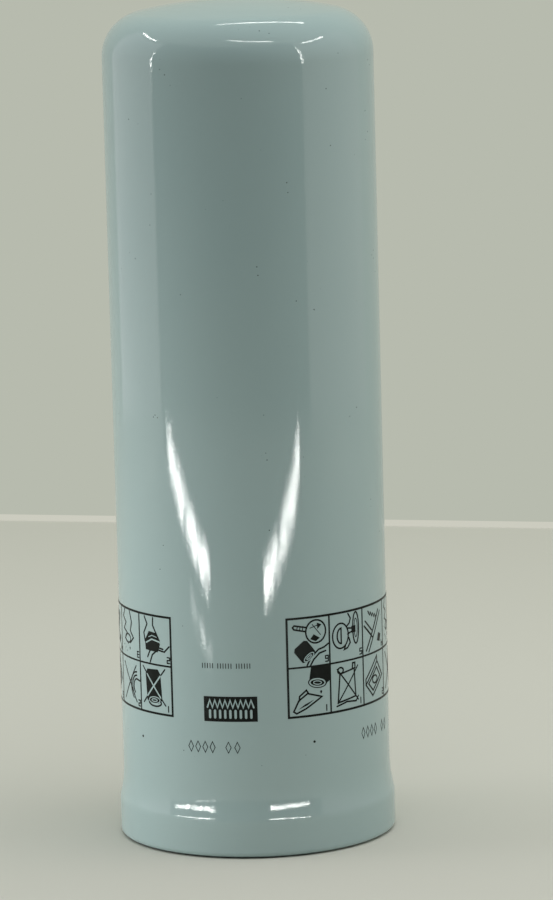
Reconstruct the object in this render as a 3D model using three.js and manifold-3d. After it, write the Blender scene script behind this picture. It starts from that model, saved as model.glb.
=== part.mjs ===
// Spin-on oil filter standing on its gasket, closed end up. Millimetres, Z up, axis on the Z axis.
import * as THREE from "three";
import { mergeVertices } from "three/addons/utils/BufferGeometryUtils.js";
import Module from "manifold-3d";

const wasm = await Module();
wasm.setup();

// Driving sizes.
const height = 392;
const bodyRadius = 63;
const skirtRadius = 65;
const wall = 1.6;
const gap = 0.3;
const canSides = 52;
const innerSides = 32;

// Can: rolled rim, straight skirt, flare, body, shoulder and shallow crown.
const rimBottom = 0.5;
const rimLip = 57.5;
const rimBend = 2.4;
const skirtTop = 16;
const flareBend = 19.5;
const flareTop = 33.5;
const crownRadius = 220;
const shoulderRadius = 21;

// Base plate with its threaded hub, inlet holes and gasket groove.
const plateBottom = rimBottom + wall + gap;
const plateTop = 15;
const plateRadius = skirtRadius - wall - gap;
const threadMinorRadius = 30.6;
const hubRadius = 36.5;
const hubTop = 22;
const inletCount = 8;
const inletRadius = 4.75;
const inletCircle = 42.3;
const gasketInner = 48.7;
const gasketOuter = 53.9;
const gasketTop = 7;
const sealMiddle = 9.8;
const sealSection = 1.3;

// Filter element.
const elementRadius = 56;
const sheet = 0.8;
const lowerCapBottom = 25.6;
const upperCapTop = 349.1;
const capSkirt = 9;
const boreRadius = 33.2;
const bondHeight = 2.6;
const pleats = 40;
const pleatTip = 54.5;
const pleatRoot = 34.7;
const tubeRadius = 32.3;
const tubeRows = 8;
const tubeHolesAround = 6;
const tubeHoleRadius = 3;
const beadCount = 3;

// Bypass valve in the upper end cap, closed by its spring from below.
const seatHole = 11;
const seatCup = 21.4;
const seatFloor = 344;
const poppetRadius = 15;
const cageRadius = 17.8;
const cageFloor = 319;
const stemRadius = 2.5;
const bypassWire = 1.4;
const bypassCoil = 8;

// Element spring between the upper end cap and the dome.
const springWire = 3;
const springCoil = 30;

const paint = { color: 0x9db3b1, roughness: 0.25, metalness: 0.1 };
const bareSteel = { color: 0x9a9ca0, roughness: 0.4, metalness: 0.9 };
const zincSteel = { color: 0xb9b4a0, roughness: 0.35, metalness: 0.9 };
const springSteel = { color: 0x6f7176, roughness: 0.35, metalness: 0.95 };
const blackRubber = { color: 0x17181a, roughness: 0.75, metalness: 0 };
const redRubber = { color: 0x8c3a2a, roughness: 0.7, metalness: 0 };
const filterPaper = { color: 0xd8c48c, roughness: 0.9, metalness: 0 };
const potting = { color: 0x3a4a3c, roughness: 0.6, metalness: 0 };
const hotMelt = { color: 0xe6dcc0, roughness: 0.5, metalness: 0 };

function piece(name, geometry, finish) {
  const mesh = new THREE.Mesh(geometry, new THREE.MeshStandardMaterial(finish));
  mesh.name = name;
  return mesh;
}

// Points [radius, z] along a circular arc, angles in degrees from the outward direction.
function arc(centreRadius, centreZ, radius, from, to, steps) {
  const points = [];
  for (let i = 0; i <= steps; i++) {
    const a = THREE.MathUtils.degToRad(from + ((to - from) * i) / steps);
    points.push([centreRadius + radius * Math.cos(a), centreZ + radius * Math.sin(a)]);
  }
  return points;
}

// A body turned about Z from a profile of [radius, z] points, in either direction round.
function turned(profile, sides) {
  let area = 0;
  profile.forEach(([r, z], i) => {
    const [nextR, nextZ] = profile[(i + 1) % profile.length];
    area += r * nextZ - nextR * z;
  });
  const points = profile.map(([r, z]) => new THREE.Vector2(r, z));
  const openOnAxis = profile[0][0] === 0 && profile[profile.length - 1][0] === 0;
  if (!openOnAxis) points.push(points[0].clone());
  if (area < 0) points.reverse();
  return new THREE.LatheGeometry(points, sides).rotateX(Math.PI / 2);
}

// A straight-walled ring between two radii and two heights.
function ring(inner, outer, bottom, top, sides) {
  const profile = [[inner, bottom], [outer, bottom], [outer, top], [inner, top]];
  return turned(profile, sides);
}

function solid(geometry) {
  const plain = geometry.clone();
  plain.deleteAttribute("normal");
  plain.deleteAttribute("uv");
  const merged = mergeVertices(plain, 1e-3);
  return new wasm.Manifold(
    new wasm.Mesh({
      numProp: 3,
      vertProperties: merged.attributes.position.array,
      triVerts: new Uint32Array(merged.index.array),
    }),
  );
}

function shapeOf(body) {
  const mesh = body.getMesh();
  const geometry = new THREE.BufferGeometry();
  geometry.setAttribute("position", new THREE.BufferAttribute(mesh.vertProperties, 3));
  geometry.setIndex(new THREE.BufferAttribute(mesh.triVerts, 1));
  const flat = geometry.toNonIndexed();
  flat.computeVertexNormals();
  return flat;
}

// Axis of a coil spring: half a flat turn at each end, an even rise between.
class CoilAxis extends THREE.Curve {
  constructor(radius, low, high, turns) {
    super();
    Object.assign(this, { radius, low, high, turns });
  }
  getPoint(t, target = new THREE.Vector3()) {
    const turn = t * this.turns;
    const rise = THREE.MathUtils.clamp((turn - 0.5) / (this.turns - 1), 0, 1);
    const angle = turn * Math.PI * 2;
    const z = this.low + (this.high - this.low) * rise;
    return target.set(this.radius * Math.cos(angle), this.radius * Math.sin(angle), z);
  }
}

// Part of a level circle round the Z axis.
class LevelArc extends THREE.Curve {
  constructor(radius, z, from, to) {
    super();
    Object.assign(this, { radius, z, from, to });
  }
  getPoint(t, target = new THREE.Vector3()) {
    const angle = THREE.MathUtils.degToRad(this.from + (this.to - this.from) * t);
    return target.set(this.radius * Math.cos(angle), this.radius * Math.sin(angle), this.z);
  }
}

function roundBar(axis, radius, sides, steps) {
  const section = new THREE.Shape();
  for (let i = 0; i < sides; i++) {
    const a = (i / sides) * Math.PI * 2;
    section[i ? "lineTo" : "moveTo"](radius * Math.cos(a), radius * Math.sin(a));
  }
  section.closePath();
  return new THREE.ExtrudeGeometry(section, { extrudePath: axis, steps, bevelEnabled: false });
}

// One skin of the can at a given depth in from the painted face, from the skirt up to the crown.
function canSkin(depth) {
  const crownCentre = height - crownRadius;
  const shoulderCentreR = bodyRadius - shoulderRadius;
  const reach = crownRadius - shoulderRadius;
  const rise = Math.sqrt(reach * reach - shoulderCentreR * shoulderCentreR);
  const shoulderCentreZ = crownCentre + rise;
  const meet = THREE.MathUtils.radToDeg(Math.atan2(rise, shoulderCentreR));
  const slope = (2 * (skirtRadius - bodyRadius)) / (flareTop - skirtTop);
  const points = [];
  for (const z of [skirtTop, (skirtTop + flareBend) / 2, flareBend]) {
    const fall = (slope * (z - skirtTop) ** 2) / (2 * (flareBend - skirtTop));
    points.push([skirtRadius - fall - depth, z]);
  }
  for (let i = 1; i <= 4; i++) {
    const z = flareBend + ((flareTop - flareBend) * i) / 4;
    const rest = (slope * (flareTop - z) ** 2) / (2 * (flareTop - flareBend));
    points.push([bodyRadius + rest - depth, z]);
  }
  points.push(...arc(shoulderCentreR, shoulderCentreZ, shoulderRadius - depth, 0, meet, depth ? 4 : 6));
  points.push(...arc(0, crownCentre, crownRadius - depth, meet, 90, 3).slice(1, -1));
  points.push([0, height - depth]);
  return points;
}

// One closed profile: from the crown down the painted face, round the lip and up the inside.
function can() {
  const bendZ = rimBottom + rimBend;
  const bendR = skirtRadius - rimBend;
  const outside = [
    [rimLip, rimBottom],
    ...arc(bendR, bendZ, rimBend, -90, 0, 4),
    ...canSkin(0),
  ];
  const inside = [
    [rimLip, rimBottom + wall],
    ...arc(bendR, bendZ, rimBend - wall, -90, 0, 2),
    ...canSkin(wall),
  ];
  return piece("can", turned([...outside.reverse(), ...inside], canSides), paint);
}

function basePlate() {
  const grooveInner = gasketInner - gap;
  const grooveOuter = gasketOuter + gap;
  const grooveTop = gasketTop + gap;
  const edgeIn = plateRadius - 2 * sealSection - gap;
  const chamfer = 1.2;
  const bend = rimBend - wall;
  const profile = [
    [threadMinorRadius + chamfer, plateBottom],
    [grooveInner, plateBottom],
    [grooveInner, grooveTop],
    [grooveOuter, grooveTop],
    [grooveOuter, plateBottom],
    [plateRadius - bend, plateBottom],
    [plateRadius, plateBottom + bend],
    [plateRadius, sealMiddle - sealSection - gap],
    [edgeIn, sealMiddle - sealSection - gap],
    [edgeIn, sealMiddle + sealSection + gap],
    [plateRadius, sealMiddle + sealSection + gap],
    [plateRadius, plateTop - chamfer],
    [plateRadius - chamfer, plateTop],
    [hubRadius, plateTop],
    [hubRadius, hubTop],
    [threadMinorRadius + chamfer, hubTop],
    [threadMinorRadius, hubTop - chamfer],
    [threadMinorRadius, plateBottom + chamfer],
  ];
  let body = solid(turned(profile, canSides));
  for (let i = 0; i < inletCount; i++) {
    const drill = new THREE.CylinderGeometry(inletRadius, inletRadius, plateTop * 2, 12);
    drill.rotateX(Math.PI / 2);
    drill.translate(inletCircle, 0, plateTop / 2);
    drill.rotateZ(((i + 0.5) / inletCount) * Math.PI * 2);
    body = body.subtract(solid(drill));
  }
  return piece("base_plate", shapeOf(body), bareSteel);
}

function gasket() {
  const edge = 0.8;
  const profile = [
    [gasketInner, edge],
    [gasketInner + edge, 0],
    [gasketOuter - edge, 0],
    [gasketOuter, edge],
    [gasketOuter, gasketTop],
    [gasketInner, gasketTop],
  ];
  return piece("gasket", turned(profile, canSides), blackRubber);
}

function plateSeal() {
  const middle = plateRadius - sealSection;
  const section = arc(middle, sealMiddle, sealSection, 0, 300, 5);
  return piece("plate_seal", turned(section, innerSides), blackRubber);
}

// Rubber ring round the hub whose thin skirt lies over the inlet holes.
function drainbackFlap() {
  const collar = hubRadius + gap;
  const seat = plateTop + gap;
  const profile = [
    [collar, seat],
    [collar + 1.4, seat],
    [collar + 2.2, seat + 2.4],
    [50.5, seat],
    [52, seat],
    [52, seat + 1],
    [collar + 3, seat + 4.6],
    [collar, seat + 4.6],
  ];
  return piece("drainback_flap", turned(profile, innerSides), redRubber);
}

function hubGrommet() {
  const profile = [
    [boreRadius - 1.2, hubTop + gap],
    [hubRadius + 2, hubTop + gap],
    [hubRadius + 2, lowerCapBottom - gap],
    [boreRadius - gap, lowerCapBottom - gap],
    [boreRadius - gap, lowerCapBottom + 4],
    [boreRadius - 1.2, lowerCapBottom + 4],
  ];
  return piece("hub_grommet", turned(profile, innerSides), blackRubber);
}

// Pressed channel ring that holds one end of the pleats, its rims pointing along the side given.
function endCap(name, face, side) {
  const floor = face + side * sheet;
  const innerRim = face + side * (capSkirt - 2);
  const outerRim = face + side * capSkirt;
  const profile = [
    [boreRadius, face],
    [elementRadius, face],
    [elementRadius, outerRim],
    [elementRadius - sheet, outerRim],
    [elementRadius - sheet, floor],
    [boreRadius + sheet, floor],
    [boreRadius + sheet, innerRim],
    [boreRadius, innerRim],
  ];
  return piece(name, turned(profile, innerSides), zincSteel);
}

// The upper cap is closed inwards as a ledge that carries the bypass seat.
function upperEndCap() {
  const floor = upperCapTop - sheet;
  const ledge = seatCup + gap;
  const profile = [
    [ledge, upperCapTop],
    [elementRadius, upperCapTop],
    [elementRadius, upperCapTop - capSkirt],
    [elementRadius - sheet, upperCapTop - capSkirt],
    [elementRadius - sheet, floor],
    [ledge, floor],
  ];
  return piece("upper_end_cap", turned(profile, innerSides), zincSteel);
}

const mediaBottom = lowerCapBottom + sheet + bondHeight + 2 * gap;
const mediaTop = upperCapTop - sheet - bondHeight - 2 * gap;

function bond(name, bottom) {
  const inner = boreRadius + sheet + gap;
  const outer = elementRadius - sheet - gap;
  return piece(name, ring(inner, outer, bottom, bottom + bondHeight, innerSides), potting);
}

// Pleated paper: two zigzag outlines, the sheet's thickness apart.
function media() {
  const outline = (path, tipR, tipHalf, rootR, rootHalf) => {
    for (let i = 0; i < pleats; i++) {
      const tip = (i / pleats) * Math.PI * 2;
      const root = tip + Math.PI / pleats;
      const corners = [
        [tipR, tip - tipHalf / tipR],
        [tipR, tip + tipHalf / tipR],
        [rootR, root - rootHalf / rootR],
        [rootR, root + rootHalf / rootR],
      ];
      corners.forEach(([r, a], k) => {
        path[i + k ? "lineTo" : "moveTo"](r * Math.cos(a), r * Math.sin(a));
      });
    }
    path.closePath();
    return path;
  };
  const outside = outline(new THREE.Shape(), pleatTip, 1.3, pleatRoot + 1, 0.5);
  outside.holes.push(outline(new THREE.Path(), pleatTip - 1, 0.5, pleatRoot, 1.3));
  const depth = mediaTop - mediaBottom;
  const geometry = new THREE.ExtrudeGeometry(outside, { depth, bevelEnabled: false });
  geometry.translate(0, 0, mediaBottom);
  return piece("pleated_media", geometry, filterPaper);
}

// Folded strip over the pleat where the paper's two ends meet, at the back.
function seamClip() {
  const half = 1.3 + gap;
  const metal = 0.4;
  const reach = 4.2;
  const top = pleatTip + gap + metal;
  const section = new THREE.Shape();
  section.moveTo(-half - metal, top - reach);
  section.lineTo(-half, top - reach);
  section.lineTo(-half, top - metal);
  section.lineTo(half, top - metal);
  section.lineTo(half, top - reach);
  section.lineTo(half + metal, top - reach);
  section.lineTo(half + metal, top);
  section.lineTo(-half - metal, top);
  section.closePath();
  const margin = capSkirt + 4;
  const depth = upperCapTop - lowerCapBottom - 2 * margin;
  const geometry = new THREE.ExtrudeGeometry(section, { depth, bevelEnabled: false });
  geometry.translate(0, 0, lowerCapBottom + margin);
  return piece("seam_clip", geometry, zincSteel);
}

function centreTube() {
  const bottom = lowerCapBottom + 4.6;
  const top = seatFloor - 2.5;
  const tube = ring(tubeRadius - sheet, tubeRadius, bottom, top, innerSides);
  let body = solid(tube);
  const pitch = (top - bottom - 24) / (tubeRows - 1);
  for (let row = 0; row < tubeRows; row++) {
    for (let i = 0; i < tubeHolesAround / 2; i++) {
      const turn = (i + (row % 2) / 2 + 0.25) / tubeHolesAround;
      const punch = new THREE.CylinderGeometry(tubeHoleRadius, tubeHoleRadius, tubeRadius * 3, 6);
      punch.rotateZ(turn * Math.PI * 2);
      punch.translate(0, 0, bottom + 12 + row * pitch);
      body = body.subtract(solid(punch));
    }
  }
  return piece("centre_tube", shapeOf(body), zincSteel);
}

// Bands of hot-melt adhesive that hold the pleat tips apart, stopping at the seam clip.
function bead(number) {
  const share = number / (beadCount + 1);
  const z = mediaBottom + (mediaTop - mediaBottom) * share;
  const stop = 3.2;
  const axis = new LevelArc(pleatTip + gap + 0.45, z, 90 + stop, 450 - stop);
  return piece("pleat_bead_" + number, roundBar(axis, 0.42, 4, 32), hotMelt);
}

function bypassSeat() {
  const profile = [
    [seatHole, seatFloor],
    [seatCup, seatFloor],
    [seatCup, upperCapTop + gap],
    [seatCup + 4.6, upperCapTop + gap],
    [seatCup + 4.6, upperCapTop + gap + 1],
    [seatCup - 1, upperCapTop + gap + 1],
    [seatCup - 1, seatFloor + 1],
    [seatHole, seatFloor + 1],
  ];
  return piece("bypass_seat", turned(profile, innerSides), zincSteel);
}

// Slotted cup under the seat that guides the stem and carries the spring.
function bypassCage() {
  const top = seatFloor - gap;
  const guide = stemRadius + 0.4;
  const profile = [
    [guide, cageFloor],
    [cageRadius, cageFloor],
    [cageRadius, top - 1],
    [cageRadius + 2.7, top - 1],
    [cageRadius + 2.7, top],
    [cageRadius - 1, top],
    [cageRadius - 1, cageFloor + 1],
    [guide, cageFloor + 1],
  ];
  let body = solid(turned(profile, innerSides));
  for (let i = 0; i < 2; i++) {
    const windows = new THREE.BoxGeometry(cageRadius * 3, 15, 15);
    windows.rotateZ((i * Math.PI) / 2);
    windows.translate(0, 0, (cageFloor + top) / 2);
    body = body.subtract(solid(windows));
  }
  return piece("bypass_cage", shapeOf(body), zincSteel);
}

const facingTop = seatFloor - gap;
const facingBottom = facingTop - 1.4;
const discTop = facingBottom - gap;
const discBottom = discTop - 1;

function bypassFacing() {
  const face = ring(stemRadius + gap, poppetRadius - 0.4, facingBottom, facingTop, innerSides);
  return piece("bypass_facing", face, redRubber);
}

function bypassDisc() {
  const disc = ring(stemRadius + gap, poppetRadius, discBottom, discTop, innerSides);
  return piece("bypass_disc", disc, bareSteel);
}

function bypassStem() {
  const profile = [
    [0, cageFloor - 5],
    [stemRadius - 0.6, cageFloor - 5],
    [stemRadius, cageFloor - 4.4],
    [stemRadius, facingTop + gap],
    [stemRadius + 2, facingTop + gap],
    [stemRadius + 1.4, facingTop + 1.6],
    [0, facingTop + 1.8],
  ];
  return piece("bypass_stem", turned(profile, 16), springSteel);
}

function bypassSpring() {
  const low = cageFloor + 1 + gap + bypassWire / 2;
  const high = discBottom - gap - bypassWire / 2;
  const axis = new CoilAxis(bypassCoil, low, high, 6);
  return piece("bypass_spring", roundBar(axis, bypassWire / 2, 5, 66), springSteel);
}

const seatPlateBottom = upperCapTop + gap;

function springSeat() {
  const inner = seatCup + 4.6 + gap;
  const outer = springCoil + springWire / 2 + gap + 1;
  const profile = [
    [inner, seatPlateBottom],
    [outer + 4, seatPlateBottom],
    [outer + 4, seatPlateBottom + 1],
    [outer, seatPlateBottom + 1],
    [outer, seatPlateBottom + 4],
    [outer - 1, seatPlateBottom + 4],
    [outer - 1, seatPlateBottom + 1],
    [inner, seatPlateBottom + 1],
  ];
  return piece("spring_seat", turned(profile, innerSides), zincSteel);
}

function elementSpring() {
  const reach = springCoil + springWire / 2;
  const inside = crownRadius - wall;
  const domeInside = height - crownRadius + Math.sqrt(inside * inside - reach * reach);
  const low = seatPlateBottom + 1 + gap + springWire / 2;
  const high = domeInside - gap - springWire / 2;
  const axis = new CoilAxis(springCoil, low, high, 5.5);
  return piece("element_spring", roundBar(axis, springWire / 2, 6, 88), springSteel);
}

const group = new THREE.Group();
group.add(can());
group.add(basePlate());
group.add(gasket());
group.add(plateSeal());
group.add(drainbackFlap());
group.add(hubGrommet());
group.add(endCap("lower_end_cap", lowerCapBottom, 1));
group.add(upperEndCap());
group.add(bond("lower_bond", lowerCapBottom + sheet + gap));
group.add(bond("upper_bond", upperCapTop - sheet - gap - bondHeight));
group.add(media());
group.add(seamClip());
group.add(centreTube());
for (let number = 1; number <= beadCount; number++) {
  group.add(bead(number));
}
group.add(bypassSeat());
group.add(bypassCage());
group.add(bypassFacing());
group.add(bypassDisc());
group.add(bypassStem());
group.add(bypassSpring());
group.add(springSeat());
group.add(elementSpring());

export default group;
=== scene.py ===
import math
import random

import bmesh
import bpy
from mathutils import Matrix, Vector


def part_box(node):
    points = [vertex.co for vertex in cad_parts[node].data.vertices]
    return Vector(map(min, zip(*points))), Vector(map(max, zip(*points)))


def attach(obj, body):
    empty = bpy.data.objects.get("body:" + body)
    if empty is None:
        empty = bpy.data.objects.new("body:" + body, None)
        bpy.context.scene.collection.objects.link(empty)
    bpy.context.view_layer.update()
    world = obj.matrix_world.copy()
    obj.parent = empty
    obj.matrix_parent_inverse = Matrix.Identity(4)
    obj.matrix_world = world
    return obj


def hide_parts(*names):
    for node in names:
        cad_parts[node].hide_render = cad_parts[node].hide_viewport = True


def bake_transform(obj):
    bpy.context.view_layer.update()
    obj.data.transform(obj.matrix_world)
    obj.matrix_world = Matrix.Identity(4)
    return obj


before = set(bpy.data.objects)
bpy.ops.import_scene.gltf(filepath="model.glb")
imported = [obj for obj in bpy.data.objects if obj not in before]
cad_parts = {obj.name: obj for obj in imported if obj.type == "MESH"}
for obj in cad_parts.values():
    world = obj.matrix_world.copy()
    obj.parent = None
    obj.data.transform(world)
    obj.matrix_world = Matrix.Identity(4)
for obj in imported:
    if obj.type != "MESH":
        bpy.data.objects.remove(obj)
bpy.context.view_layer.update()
scene = bpy.context.scene
mm = 0.001
print("frame loaded:", len(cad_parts), "nodes")


# small helpers for meshes

def addPiece(name, verts, faces, finish, smoothUnder=32):
    mesh = bpy.data.meshes.new(name)
    mesh.from_pydata(verts, [], faces)
    work = bmesh.new()
    work.from_mesh(mesh)
    bmesh.ops.recalc_face_normals(work, faces=work.faces)
    work.to_mesh(mesh)
    work.free()
    mesh.shade_smooth()
    mesh.set_sharp_from_angle(angle=math.radians(smoothUnder))
    piece = bpy.data.objects.new(name, mesh)
    scene.collection.objects.link(piece)
    piece.data.materials.append(finish)
    return piece


def settle(piece, body, slot, *nodes):  # rides, stands for its CAD nodes
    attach(piece, body)
    if nodes:
        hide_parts(*nodes)


def spinProfile(profile, sides, closed=True):
    verts, faces, rows = [], [], []
    for radius, height in profile:
        if radius < 1e-6:
            rows.append([len(verts)])
            verts.append((0, 0, height * mm))
            continue
        rows.append(list(range(len(verts), len(verts) + sides)))
        for i in range(sides):
            a = 2 * math.pi * i / sides
            verts.append((radius * mm * math.cos(a), radius * mm * math.sin(a), height * mm))
    pairs = list(zip(rows, rows[1:])) + ([(rows[-1], rows[0])] if closed else [])
    for low, high in pairs:
        for i in range(sides):
            j = (i + 1) % sides
            if len(low) == 1 and len(high) == 1:
                continue
            if len(low) == 1:
                faces.append((low[0], high[j], high[i]))
            elif len(high) == 1:
                faces.append((low[i], low[j], high[0]))
            else:
                faces.append((low[i], low[j], high[j], high[i]))
    return verts, faces


def easeCorners(profile, reach, steps=3):  # rounds every corner of a closed profile
    out, count = [], len(profile)
    for i, here in enumerate(profile):
        before, after = Vector(profile[i - 1]), Vector(profile[(i + 1) % count])
        corner = Vector(here)
        toBefore, toAfter = before - corner, after - corner
        bite = min(reach, toBefore.length * 0.45, toAfter.length * 0.45)
        start = corner + toBefore.normalized() * bite
        end = corner + toAfter.normalized() * bite
        for k in range(steps + 1):
            t = k / steps
            p = start * (1 - t) ** 2 + corner * 2 * t * (1 - t) + end * t * t
            out.append((p.x, p.y))
    return out


def turnedPiece(name, profile, finish, ease=0.25, sides=96):
    verts, faces = spinProfile(easeCorners(profile, ease), sides)
    return addPiece(name, verts, faces, finish)


def sweep(centres, frames, section):  # closed bar along a line of centres
    verts, faces, n = [], [], len(section)
    for centre, (side, up) in zip(centres, frames):
        for a, b in section:
            verts.append(tuple(centre + side * a + up * b))
    for k in range(len(centres) - 1):
        for i in range(n):
            j = (i + 1) % n
            faces.append((k * n + i, k * n + j, (k + 1) * n + j, (k + 1) * n + i))
    faces.append(tuple(range(n)))
    faces.append(tuple(range((len(centres) - 1) * n, len(centres) * n)))
    return verts, faces


# finishes

def newFinish(name, look):
    finish = bpy.data.materials.new(name)
    finish.use_nodes = True
    nodes, links = finish.node_tree.nodes, finish.node_tree.links
    shader = nodes["Principled BSDF"]
    shader.inputs["Metallic"].default_value = look.get("metallic", 0.0)
    shader.inputs["IOR"].default_value = look.get("ior", 1.5)
    shader.inputs["Specular IOR Level"].default_value = look.get("gloss", 0.5)
    shader.inputs["Coat Weight"].default_value = look.get("coat", 0.0)
    shader.inputs["Coat Roughness"].default_value = 0.05
    shader.inputs["Sheen Weight"].default_value = look.get("sheen", 0.0)
    place = nodes.new("ShaderNodeTexCoord")

    def noise(scale, detail=3.0, stretch=(1, 1, 1)):
        scaled = nodes.new("ShaderNodeMapping")
        scaled.inputs["Scale"].default_value = stretch
        links.new(place.outputs["Object"], scaled.inputs["Vector"])
        grain = nodes.new("ShaderNodeTexNoise")
        grain.inputs["Scale"].default_value = scale
        grain.inputs["Detail"].default_value = detail
        links.new(scaled.outputs["Vector"], grain.inputs["Vector"])
        return grain.outputs["Fac"]

    def spread(value, low, high, fromLow=0.3, fromHigh=0.7):
        ranged = nodes.new("ShaderNodeMapRange")
        ranged.inputs["From Min"].default_value = fromLow
        ranged.inputs["From Max"].default_value = fromHigh
        ranged.inputs["To Min"].default_value = low
        ranged.inputs["To Max"].default_value = high
        links.new(value, ranged.inputs["Value"])
        return ranged.outputs["Result"]

    tone = spread(noise(look["toneScale"], 4.0, look.get("stretch", (1, 1, 1))), 0.0, 1.0)
    blend = nodes.new("ShaderNodeMix")
    blend.data_type = "RGBA"
    blend.inputs["A"].default_value = (*look["colour"], 1)
    blend.inputs["B"].default_value = (*look["colourTwo"], 1)
    links.new(tone, blend.inputs["Factor"])
    colour = blend.outputs["Result"]

    if "speck" in look:  # sparse dust specks in the surface
        cells = nodes.new("ShaderNodeTexVoronoi")
        cells.inputs["Scale"].default_value = look["speckScale"]
        links.new(place.outputs["Object"], cells.inputs["Vector"])
        dots = spread(cells.outputs["Distance"], 1.0, 0.0, look["speckSize"] * 0.6, look["speckSize"])
        chosen = spread(noise(look["speckScale"] * 0.31, 0.0), 0.0, 1.0, 0.66, 0.7)
        both = nodes.new("ShaderNodeMath")
        both.operation = "MULTIPLY"
        links.new(dots, both.inputs[0])
        links.new(chosen, both.inputs[1])
        dusted = nodes.new("ShaderNodeMix")
        dusted.data_type = "RGBA"
        dusted.inputs["B"].default_value = (*look["speck"], 1)
        links.new(both.outputs["Value"], dusted.inputs["Factor"])
        links.new(colour, dusted.inputs["A"])
        colour = dusted.outputs["Result"]
    links.new(colour, shader.inputs["Base Color"])

    rough = spread(noise(look["roughScale"], 3.0, look.get("stretch", (1, 1, 1))), *look["roughness"])
    links.new(rough, shader.inputs["Roughness"])

    height = noise(look["bumpScale"], look.get("bumpDetail", 2.0), look.get("stretch", (1, 1, 1)))
    if look.get("rings"):  # turning marks round the axis
        marks = nodes.new("ShaderNodeTexWave")
        marks.wave_type = "RINGS"
        marks.rings_direction = "Z"
        marks.inputs["Scale"].default_value = look["rings"]
        marks.inputs["Distortion"].default_value = 0.6
        links.new(place.outputs["Object"], marks.inputs["Vector"])
        summed = nodes.new("ShaderNodeMath")
        summed.operation = "ADD"
        links.new(height, summed.inputs[0])
        links.new(marks.outputs["Fac"], summed.inputs[1])
        height = summed.outputs["Value"]
    bump = nodes.new("ShaderNodeBump")
    bump.inputs["Strength"].default_value = look["bump"]
    bump.inputs["Distance"].default_value = look["bumpDepth"] * mm
    links.new(height, bump.inputs["Height"])
    links.new(bump.outputs["Normal"], shader.inputs["Normal"])
    return finish


canPaint = newFinish("can paint, pale blue-green gloss", {
    "colour": (0.370, 0.505, 0.522), "colourTwo": (0.390, 0.520, 0.532), "toneScale": 9,
    "speck": (0.05, 0.055, 0.05), "speckScale": 260, "speckSize": 0.09,
    "roughness": (0.020, 0.038), "roughScale": 40, "ior": 1.52,
    "bump": 0.35, "bumpDepth": 0.05, "bumpScale": 900,
})
blackInk = newFinish("print ink, black", {
    "colour": (0.004, 0.006, 0.005), "colourTwo": (0.008, 0.011, 0.010), "toneScale": 180, "gloss": 0.12,
    "roughness": (0.30, 0.42), "roughScale": 300,
    "bump": 0.15, "bumpDepth": 0.02, "bumpScale": 900,
})
platedSteel = newFinish("base plate, machined steel", {
    "colour": (0.50, 0.51, 0.52), "colourTwo": (0.60, 0.60, 0.59), "toneScale": 60, "metallic": 1.0,
    "roughness": (0.28, 0.42), "roughScale": 160, "rings": 900,
    "bump": 0.25, "bumpDepth": 0.03, "bumpScale": 500,
})
zincSteel = newFinish("pressed parts, zinc plated", {
    "colour": (0.62, 0.60, 0.50), "colourTwo": (0.70, 0.66, 0.52), "toneScale": 45, "metallic": 1.0,
    "roughness": (0.25, 0.38), "roughScale": 120,
    "bump": 0.18, "bumpDepth": 0.03, "bumpScale": 350,
})
springSteel = newFinish("spring wire, oiled", {
    "colour": (0.16, 0.16, 0.17), "colourTwo": (0.26, 0.26, 0.27), "toneScale": 90, "metallic": 1.0,
    "roughness": (0.22, 0.36), "roughScale": 200, "coat": 0.3,
    "bump": 0.2, "bumpDepth": 0.02, "bumpScale": 700,
})
blackRubber = newFinish("gasket rubber, black", {
    "colour": (0.016, 0.016, 0.017), "colourTwo": (0.030, 0.030, 0.031), "toneScale": 70,
    "roughness": (0.45, 0.62), "roughScale": 150, "sheen": 0.1,
    "bump": 0.3, "bumpDepth": 0.03, "bumpScale": 600,
})
redRubber = newFinish("valve rubber, brick red", {
    "colour": (0.30, 0.055, 0.035), "colourTwo": (0.37, 0.080, 0.050), "toneScale": 60,
    "roughness": (0.42, 0.58), "roughScale": 150,
    "bump": 0.3, "bumpDepth": 0.03, "bumpScale": 600,
})
filterPaper = newFinish("filter paper, resin cured", {
    "colour": (0.64, 0.50, 0.25), "colourTwo": (0.74, 0.60, 0.34), "toneScale": 120,
    "roughness": (0.80, 0.95), "roughScale": 400, "stretch": (1, 1, 0.3),
    "bump": 0.6, "bumpDepth": 0.06, "bumpScale": 1500, "bumpDetail": 5.0,
})
pottingGlue = newFinish("potting, green-black", {
    "colour": (0.035, 0.055, 0.040), "colourTwo": (0.060, 0.085, 0.060), "toneScale": 80,
    "roughness": (0.25, 0.45), "roughScale": 120,
    "bump": 0.5, "bumpDepth": 0.15, "bumpScale": 140,
})
hotGlue = newFinish("bead glue, milky", {
    "colour": (0.72, 0.64, 0.46), "colourTwo": (0.80, 0.73, 0.56), "toneScale": 100,
    "roughness": (0.30, 0.45), "roughScale": 150,
    "bump": 0.4, "bumpDepth": 0.08, "bumpScale": 260,
})
print("finishes made")


# the can: lip, skirt, flare, body, shoulder, crown

can = {
    "bodyRadius": 63.0, "wall": 1.6, "lipRadius": 57.5, "rimBend": 2.4,
    "skirtTop": 16.0, "flareBend": 19.5, "flareTop": 33.5,
    "shoulderRadius": 21.0, "crownRadius": 220.0, "sides": 256,
}
canLow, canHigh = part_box("can")
can["top"] = canHigh.z / mm
can["rimBottom"] = canLow.z / mm
can["skirtRadius"] = canHigh.x / mm


def arcPoints(centreR, centreZ, radius, start, stop, steps):
    for k in range(steps + 1):
        a = math.radians(start + (stop - start) * k / steps)
        yield (centreR + radius * math.cos(a), centreZ + radius * math.sin(a))


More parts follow.
